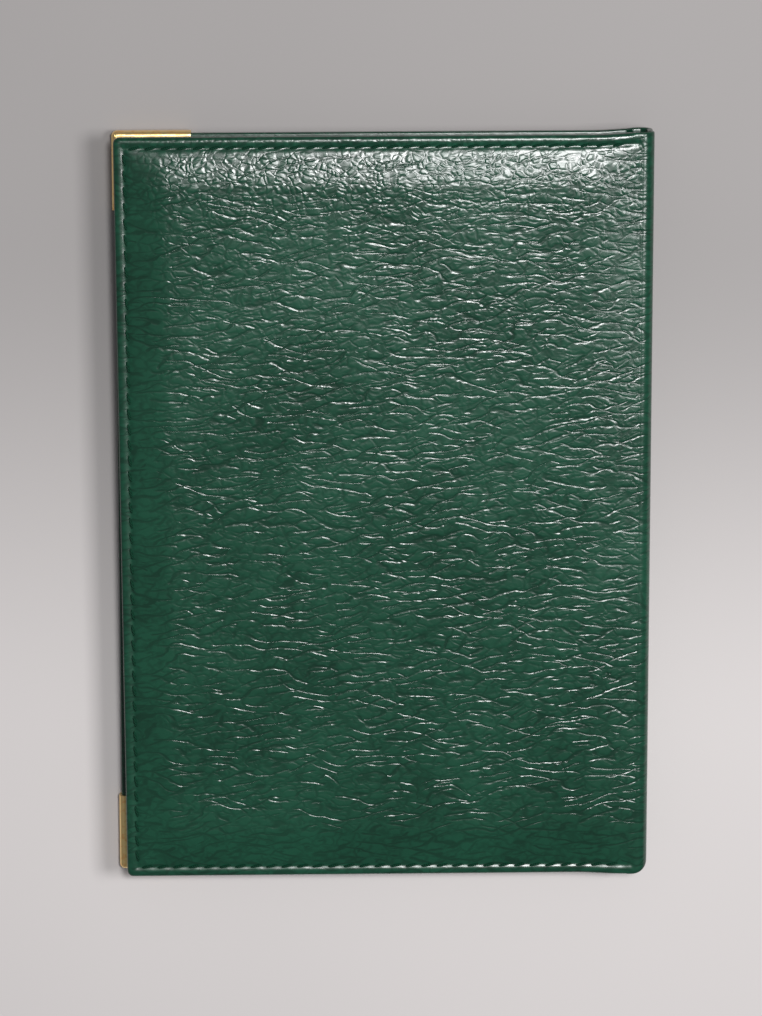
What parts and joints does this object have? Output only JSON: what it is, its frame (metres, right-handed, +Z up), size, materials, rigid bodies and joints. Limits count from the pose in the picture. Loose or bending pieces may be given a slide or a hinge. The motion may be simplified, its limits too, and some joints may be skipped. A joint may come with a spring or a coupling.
{
  "type": "pocket notebook",
  "caption": "Closed pocket notebook: padded leather wallet cover with a stitched rim, rounded spine and gilt metal corners, opening flat round a stapled paper refill.",
  "frame": {"origin": "middle of the footprint, on the surface that the closed notebook lies on", "axes": "+Z up, out of the back cover; +Y towards the head of the pages; the spine is on +X and the fore edge on -X"},
  "size_m": [0.1026, 0.1444, 0.0106],
  "materials": {
    "leather": "pebble grain, satin",
    "pocket_leather": "smooth, satin",
    "thread": "waxed twist",
    "gilt": "polished gilt",
    "lining": "fine grosgrain",
    "board": "matt greyboard",
    "padding": "soft foam sheet",
    "paper": "matt cream",
    "card": "matt cover card",
    "staple_wire": "bright wire"
  },
  "bodies": {
    "front_cover": {"front_leather": "leather", "front_padding": "padding", "front_board": "board", "front_infill": "board", "front_lining": "lining", "front_pocket_panel": "pocket_leather", "front_pocket_hem": "pocket_leather", "front_stitching": "thread", "gilt_corner_head": "gilt", "gilt_corner_foot": "gilt"},
    "spine": {"spine_leather": "leather", "spine_infill": "board", "spine_lining": "lining", "front_hinge_leather": "leather", "back_hinge_leather": "leather", "refill_fold": "paper", "refill_spine_card": "card", "refill_staples": "staple_wire"},
    "back_cover": {"back_leather": "leather", "back_padding": "padding", "back_board": "board", "back_infill": "board", "back_lining": "lining", "back_pocket_panel": "pocket_leather", "back_pocket_hem": "pocket_leather", "back_stitching": "thread"},
    "front_card": {"refill_front_card": "card"},
    "back_card": {"refill_back_card": "card"},
    "leaves_front_outer": {"leaves_front_outer": "paper"},
    "leaves_front_middle": {"leaves_front_middle": "paper"},
    "leaves_front_inner": {"leaves_front_inner": "paper"},
    "leaves_back_outer": {"leaves_back_outer": "paper"},
    "leaves_back_middle": {"leaves_back_middle": "paper"},
    "leaves_back_inner": {"leaves_back_inner": "paper"}
  },
  "joints": [
    {"name": "spine_hinge", "type": "hinge", "parent": "front_cover", "child": "spine", "pos_m": [0.05052, 0, 0.00168], "axis": [0, 1, 0], "range_deg": [0, 90], "deforming": ["front_hinge_leather"]},
    {"name": "back_cover_hinge", "type": "hinge", "parent": "spine", "child": "back_cover", "pos_m": [0.05052, 0, 0.00892], "axis": [0, 1, 0], "range_deg": [0, 90], "deforming": ["back_hinge_leather"]},
    {"name": "front_card_slide", "type": "slide", "parent": "front_cover", "child": "front_card", "axis": [1, 0, 0], "range_m": [0, 0.0075]},
    {"name": "back_card_slide", "type": "slide", "parent": "back_cover", "child": "back_card", "axis": [1, 0, 0], "range_m": [0, 0.0075]},
    {"name": "leaves_front_outer_turn", "type": "hinge", "parent": "spine", "child": "leaves_front_outer", "pos_m": [0.04677, 0, 0.0053], "axis": [0, 1, 0], "range_deg": [-90, 0], "deforming": ["refill_fold"]},
    {"name": "leaves_front_middle_turn", "type": "hinge", "parent": "spine", "child": "leaves_front_middle", "pos_m": [0.04677, 0, 0.0053], "axis": [0, 1, 0], "range_deg": [-90, 0]},
    {"name": "leaves_front_inner_turn", "type": "hinge", "parent": "spine", "child": "leaves_front_inner", "pos_m": [0.04677, 0, 0.0053], "axis": [0, 1, 0], "range_deg": [-90, 0]},
    {"name": "leaves_back_outer_turn", "type": "hinge", "parent": "spine", "child": "leaves_back_outer", "pos_m": [0.04677, 0, 0.0053], "axis": [0, 1, 0], "range_deg": [0, 90]},
    {"name": "leaves_back_middle_turn", "type": "hinge", "parent": "spine", "child": "leaves_back_middle", "pos_m": [0.04677, 0, 0.0053], "axis": [0, 1, 0], "range_deg": [0, 90]},
    {"name": "leaves_back_inner_turn", "type": "hinge", "parent": "spine", "child": "leaves_back_inner", "pos_m": [0.04677, 0, 0.0053], "axis": [0, 1, 0], "range_deg": [0, 90]}
  ],
  "couplings": [
    {"joint": "front_card_slide", "follows": "spine_hinge", "m_per_rad": 0.0046932},
    {"joint": "back_card_slide", "follows": "back_cover_hinge", "m_per_rad": 0.0046932},
    {"joint": "leaves_front_outer_turn", "follows": "spine_hinge", "ratio": -1},
    {"joint": "leaves_front_middle_turn", "follows": "spine_hinge", "ratio": -0.95},
    {"joint": "leaves_front_inner_turn", "follows": "spine_hinge", "ratio": -0.9},
    {"joint": "leaves_back_outer_turn", "follows": "back_cover_hinge", "ratio": 1},
    {"joint": "leaves_back_middle_turn", "follows": "back_cover_hinge", "ratio": 0.95},
    {"joint": "leaves_back_inner_turn", "follows": "back_cover_hinge", "ratio": 0.9}
  ]
}
